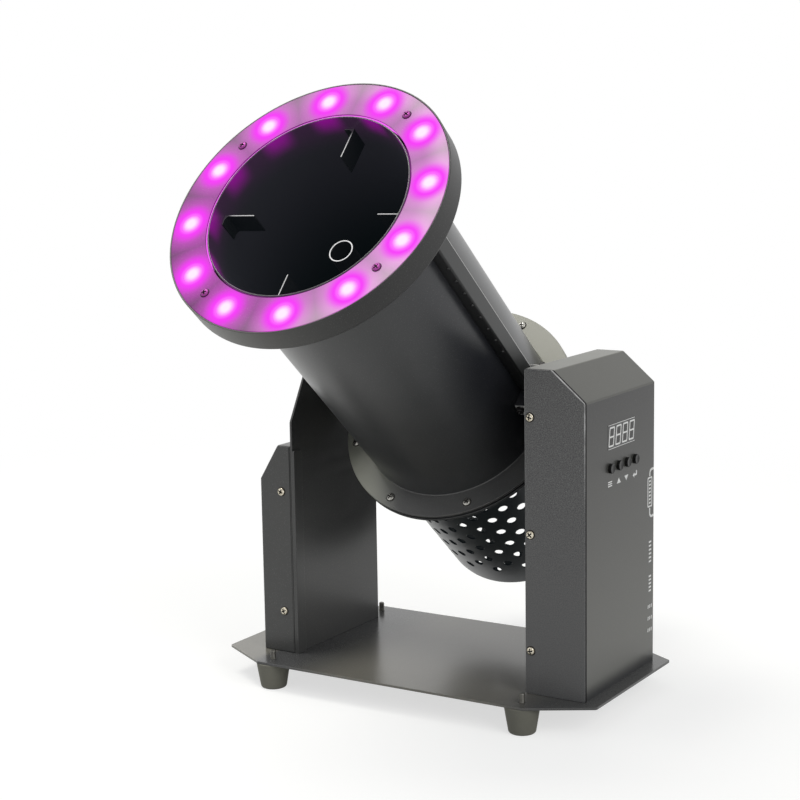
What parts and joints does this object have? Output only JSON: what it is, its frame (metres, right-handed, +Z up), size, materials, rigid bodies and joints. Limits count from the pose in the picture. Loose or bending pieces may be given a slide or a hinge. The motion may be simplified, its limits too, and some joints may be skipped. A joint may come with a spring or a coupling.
{
  "type": "confetti blower",
  "caption": "Floor-standing stage confetti blower: a motor-tilted barrel with an LED ring at its mouth, carried between two sheet-steel arms on a flat base with rubber feet.",
  "frame": {"origin": "on the floor under the middle of the machine's length and depth", "axes": "+Z up, +X towards the control box arm, -Y the side that the barrel's mouth points to"},
  "size_m": [0.425, 0.5646, 0.6072],
  "materials": {
    "powder_coat": "fine sand-textured dark grey powder coat on sheet steel",
    "inner_coat": "matt near-black paint",
    "foot_rubber": "moulded grey-brown rubber",
    "nickel_screws": "nickel-plated screws",
    "bare_steel": "zinc-plated steel",
    "bare_aluminium": "plain aluminium",
    "socket_metal": "nickel-plated socket shells",
    "black_plastic": "moulded black plastic",
    "display_pane": "smoked acrylic",
    "circuit_board": "green solder mask",
    "belt_rubber": "black neoprene",
    "led_lens": "clear lens lit magenta"
  },
  "bodies": {
    "base": {"base_plate": "powder_coat", "wiring_channel": "powder_coat", "foot_front_left": "foot_rubber", "foot_front_right": "foot_rubber", "foot_rear_left": "foot_rubber", "foot_rear_right": "foot_rubber", "foot_screw_front_left": "nickel_screws", "foot_screw_front_right": "nickel_screws", "foot_screw_rear_left": "nickel_screws", "foot_screw_rear_right": "nickel_screws", "left_arm": "powder_coat", "left_cover": "powder_coat", "left_cover_screw_1": "nickel_screws", "left_cover_screw_2": "nickel_screws", "left_bearing": "bare_steel", "power_supply": "bare_aluminium", "right_arm": "powder_coat", "control_box_shell": "powder_coat", "control_box_cover": "powder_coat", "control_box_screw_1": "nickel_screws", "control_box_screw_2": "nickel_screws", "control_box_screw_3": "nickel_screws", "right_bearing": "bare_steel", "display_window": "display_pane", "display_board": "circuit_board", "main_board": "circuit_board", "power_inlet": "black_plastic", "power_outlet": "black_plastic", "signal_input": "socket_metal", "signal_output": "socket_metal", "fuse_holder": "black_plastic", "motor_bracket": "bare_steel", "tilt_motor": "bare_steel", "tilt_belt": "belt_rubber"},
    "barrel": {"barrel_tube": "powder_coat", "barrel_flange": "powder_coat", "motor_plate": "inner_coat", "ring_housing": "powder_coat", "ring_face": "powder_coat", "led_board": "circuit_board", "led_lenses": "led_lens", "inner_tab_1": "inner_coat", "inner_tab_2": "inner_coat", "inner_tab_3": "inner_coat", "inner_tab_4": "inner_coat", "blower_housing": "black_plastic", "air_tube": "black_plastic", "blower_motor": "bare_aluminium", "guard_flange": "powder_coat", "motor_guard": "powder_coat", "cable_duct": "powder_coat", "right_trunnion": "powder_coat", "left_trunnion": "powder_coat", "tilt_pulley": "bare_aluminium"},
    "motor_shaft": {"motor_pulley": "bare_aluminium"},
    "fan": {"impeller": "bare_aluminium"},
    "key_1": {"button_1": "black_plastic"},
    "key_2": {"button_2": "black_plastic"},
    "key_3": {"button_3": "black_plastic"},
    "key_4": {"button_4": "black_plastic"}
  },
  "joints": [
    {"name": "barrel_tilt", "type": "hinge", "parent": "base", "child": "barrel", "pos_m": [0, 0.04036, 0.3031], "axis": [-1, 0, 0], "range_deg": [-40.5, 139.5]},
    {"name": "motor_turn", "type": "hinge", "parent": "base", "child": "motor_shaft", "pos_m": [0.15, 0.04036, 0.1795], "axis": [-1, 0, 0], "range_deg": [-162.5, 558.5]},
    {"name": "impeller_spin", "type": "hinge", "parent": "barrel", "child": "fan", "pos_m": [0, 0.04036, 0.3031], "axis": [0, -0.7604, 0.6494], "continuous": true},
    {"name": "press_1", "type": "slide", "parent": "base", "child": "key_1", "axis": [-1, 0, 0], "range_m": [0, 0.0005], "stiffness_N_per_m": 100, "springref_m": -0.002},
    {"name": "press_2", "type": "slide", "parent": "base", "child": "key_2", "axis": [-1, 0, 0], "range_m": [0, 0.0005], "stiffness_N_per_m": 100, "springref_m": -0.002},
    {"name": "press_3", "type": "slide", "parent": "base", "child": "key_3", "axis": [-1, 0, 0], "range_m": [0, 0.0005], "stiffness_N_per_m": 100, "springref_m": -0.002},
    {"name": "press_4", "type": "slide", "parent": "base", "child": "key_4", "axis": [-1, 0, 0], "range_m": [0, 0.0005], "stiffness_N_per_m": 100, "springref_m": -0.002}
  ],
  "couplings": [
    {"joint": "motor_turn", "follows": "barrel_tilt", "ratio": 4}
  ]
}
